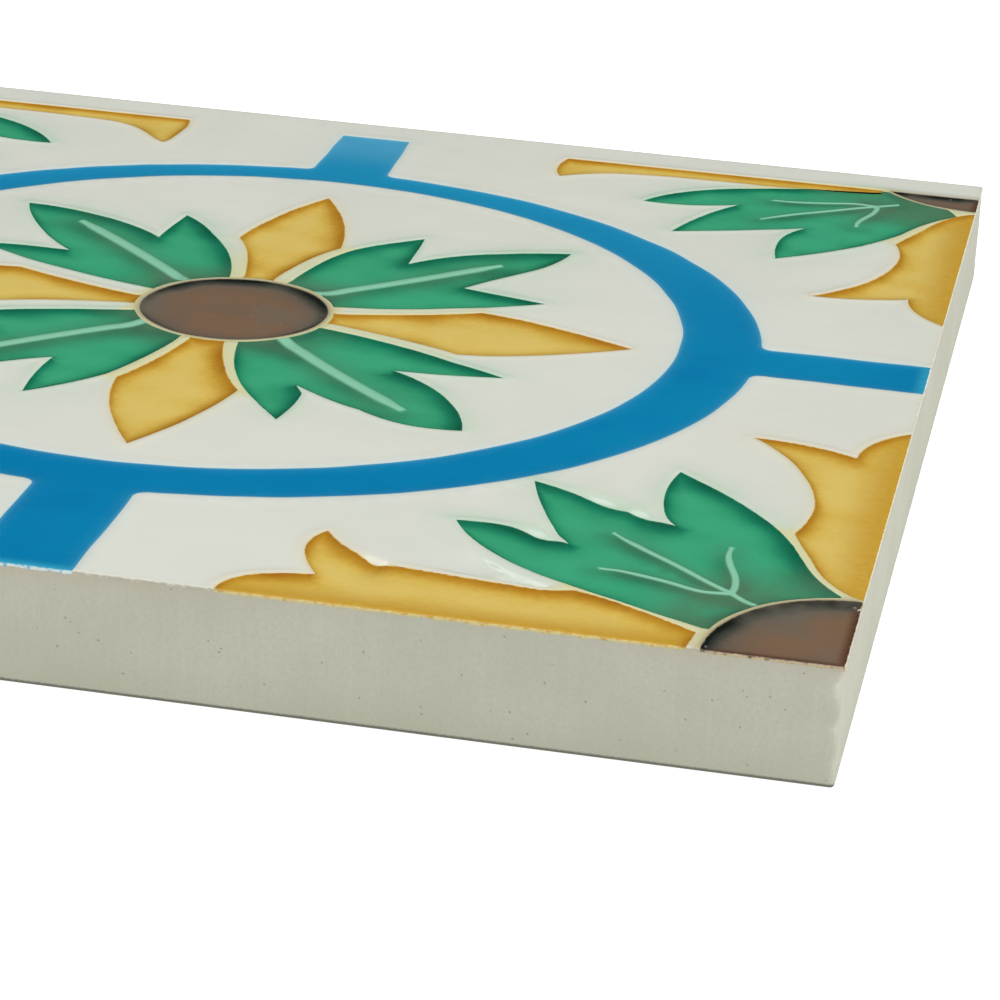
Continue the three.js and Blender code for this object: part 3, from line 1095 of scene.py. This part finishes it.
def glaze_piece(name, which, height_of, material):
    """The part of the net that one cell or the ground owns, raised to its heights."""
    used, index = np.unique(tris[owner == which].ravel(), return_inverse=True)
    points = net[used]
    h, values = height_of(points)
    corner = points.min(0)
    size = float((points.max(0) - corner).max())
    uv = 0.01 + 0.98 * (points - corner) / size
    piece(name, folded(points, h), index.reshape(-1, 3), material, values, uv)


def add_glazes():
    colours = {"green": green_glaze(), "yellow": yellow_glaze(), "brown": brown_glaze(), "blue": blue_glaze()}
    glaze_piece("glaze_ground", GROUND, ground_height, ground_glaze())
    for i, cell in enumerate(cells):
        glaze_piece(cell.name, i, lambda points, cell=cell: cell_height(points, cell), colours[cell.colour])


# The clay body. Its walls lie a little way in from the glaze's skirt, and its top is a shallow tray under the
# glaze: first the shares of the ring's width, then the depths below the tile's top.
CLAY_INSET = 0.03
CLAY_CORNER = 0.3
CLAY_PER_SIDE = 240
FOOT_ROUND = 0.32
TRAY = [(0.3, 0.18), (0.55, 0.9)]
# Chips on the near right upright edge: the height of the middle, half the height, and the depth.
CHIPS = [(8.6, 0.9, 0.85), (5.2, 0.7, 0.5), (1.6, 1.0, 0.25)]


def clay_ring(wall):
    """The clay body's outline, with small round corners and more points close to them."""
    even = np.linspace(-1, 1, CLAY_PER_SIDE)
    run = (wall - CLAY_CORNER) * (0.3 * even + 0.7 * (1.5 * even - 0.5 * even**3))
    turn = np.linspace(-math.pi / 2, 0, 5)[1:-1]
    line = np.stack([run, np.full_like(run, -wall)], -1)
    bend = polar(CLAY_CORNER, turn) + [wall - CLAY_CORNER, -wall + CLAY_CORNER]
    side = np.concatenate([line, bend])
    return np.concatenate([turned(side, 90 * k) for k in range(4)])


def clay_level(ring, wall, z):
    """The worn and chipped outline at one height, and how broken the clay is at each of its points."""
    under_round = 1 - min(z / FOOT_ROUND, 1)
    inset = FOOT_ROUND * (1 - math.sqrt(max(0, 1 - under_round**2)))
    level = ring * (1 - inset / wall)
    x, y = level[:, 0], level[:, 1]
    at_z = np.full_like(x, z)
    out = level / np.linalg.norm(level, axis=1)[:, None]
    to_corner = np.maximum(wall - abs(x), wall - abs(y))
    rough = 0.02 * wave(x + y, at_z, 101, 5) + 0.012 * wave(x - y, at_z, 102, 1.1)
    wear = 0.1 * np.exp(-to_corner / 0.5) * (0.5 + 0.5 * wave(at_z, x * 0.05, 103, 4.5))
    chip = sum(depth * np.exp(-(((z - middle) / half) ** 2)) for middle, half, depth in CHIPS)
    at_edge = np.exp(-np.hypot(x - wall, y + wall) / 0.45) * (0.75 + 0.25 * wave(at_z, at_z, 104, 0.8))
    fade = min(1.0, z / 0.3)
    worn = level - out * ((abs(rough) + wear + chip * at_edge) * fade)[:, None]
    return np.column_stack([worn, at_z]), np.clip(1.6 * chip * at_edge + 1.2 * wear, 0, 1)


def clay_faces(layers, n):
    """Triangles between layers of n points each, and from the first and last to the two points after them."""
    i = np.arange(n)
    j = (i + 1) % n
    last = (layers - 1) * n
    bottom_middle = layers * n
    faces = []
    for a in range(0, last, n):
        b = a + n
        faces.append(np.stack([a + i, a + j, b + j], -1))
        faces.append(np.stack([a + i, b + j, b + i], -1))
    faces.append(np.stack([j, i, np.full(n, bottom_middle)], -1))
    faces.append(np.stack([last + i, last + j, np.full(n, bottom_middle + 1)], -1))
    return np.concatenate(faces)


def add_clay():
    """The clay body: a block with worn upright edges, chips by one of them, and a slightly rounded foot."""
    wall = HALF - CLAY_INSET
    ring = clay_ring(wall)
    n = len(ring)
    foot = [0, 0.06, 0.16, FOOT_ROUND]
    heights = np.concatenate([foot, np.linspace(0.6, TOP - 0.55, 22), [TOP - 0.35, TOP - 0.18]])
    layers, broken = [], []
    for z in heights:
        level, level_broken = clay_level(ring, wall, z)
        layers.append(level)
        broken.append(level_broken)
    for inset, depth in TRAY:
        layers.append(np.column_stack([ring * ((wall - inset) / wall), np.full(n, TOP - depth)]))
        broken.append(np.zeros(n))
    middles = [[0, 0, 0], [0, 0, TOP - TRAY[-1][1]]]
    points = np.concatenate(layers + [middles])
    values = {"broken": np.concatenate(broken + [[0, 0]])}
    piece("tile_clay", points, clay_faces(len(layers), n), clay(), values)


# Camera, floor and light. The camera is fitted to the tile's edges and ring in the photo: its place is in
# millimetres, its turns are in radians, and its focal length is in pixels of a square picture.
CAMERA_PLACE = (91.1795, -342.9719, 131.432)
YAW, PITCH_DOWN, ROLL = -0.180991, 0.376425, 0.0506236
FOCAL_PIXELS, PICTURE_PIXELS = 3713.843, 1000
SENSOR = 36
FLOOR_HALF, FLOOR_DROP = 6, 0.00003
FLOOR_LOOK = {
    "Base Color": (0.3, 0.3, 0.3, 1),
    "Roughness": 0.9,
    "Specular IOR Level": 0.1,
    "Emission Color": (1, 1, 1, 1),
    "Emission Strength": 0.95,
}
# Soft lights that look at the tile's middle: place and size in metres, and power.
LIGHTS = {
    "overhead": ((0.05, 0.1, 1.5), (2.8, 1.1), 31.6),
    "gleam": ((-1.4, 1.0, 1.2), (1.0, 0.8), 7.5),
    "side_fill": ((1.5, -0.5, 0.5), (0.9, 0.7), 7.5),
    "front_fill": ((-0.6, -1.6, 0.9), (1.2, 0.9), 6),
}


def pose(x, y, z, place):
    """The matrix of an object with these axes at this place."""
    return Matrix([[x[i], y[i], z[i], place[i]] for i in range(3)] + [[0, 0, 0, 1]])


def add_camera():
    data = bpy.data.cameras.new("camera")
    data.sensor_width = SENSOR
    data.lens = SENSOR * FOCAL_PIXELS / PICTURE_PIXELS
    data.clip_start = 0.01
    data.clip_end = 50
    level = math.cos(PITCH_DOWN)
    forward = np.array([math.sin(YAW) * level, math.cos(YAW) * level, -math.sin(PITCH_DOWN)])
    flat_right = np.array([math.cos(YAW), -math.sin(YAW), 0])
    flat_up = np.cross(flat_right, forward)
    right = math.cos(ROLL) * flat_right + math.sin(ROLL) * flat_up
    up = -math.sin(ROLL) * flat_right + math.cos(ROLL) * flat_up
    camera = add_object("camera", data)
    camera.matrix_world = pose(right, up, -forward, [v * MM for v in CAMERA_PLACE])
    bpy.context.scene.camera = camera


def add_floor():
    material = bpy.data.materials.new("floor")
    material.use_nodes = True
    shader = material.node_tree.nodes["Principled BSDF"]
    for key, value in FLOOR_LOOK.items():
        shader.inputs[key].default_value = value
    corners = [(-1, -1), (1, -1), (1, 1), (-1, 1)]
    mesh = bpy.data.meshes.new("floor")
    mesh.from_pydata([(x * FLOOR_HALF, y * FLOOR_HALF, -FLOOR_DROP) for x, y in corners], [], [(0, 1, 2, 3)])
    mesh.materials.append(material)
    floor = add_object("floor", mesh)


def add_light(name, place, size, power):
    data = bpy.data.lights.new(name, "AREA")
    data.shape = "RECTANGLE"
    data.size, data.size_y = size
    data.energy = power
    z = np.array(place, float)
    z /= np.linalg.norm(z)
    x = np.cross((0, 1, 0.01), z)
    x /= np.linalg.norm(x)
    add_object(name, data).matrix_world = pose(x, np.cross(z, x), z, place)


def set_studio():
    scene = bpy.context.scene
    scene.world = bpy.data.worlds.new("studio")
    scene.world.use_nodes = True
    background = scene.world.node_tree.nodes["Background"]
    background.inputs["Color"].default_value = (1, 1, 1, 1)
    background.inputs["Strength"].default_value = 0.02
    scene.view_settings.view_transform = "Standard"
    scene.view_settings.look = "None"


add_glazes()
add_clay()
add_camera()
add_floor()
for name, light in LIGHTS.items():
    add_light(name, *light)
set_studio()
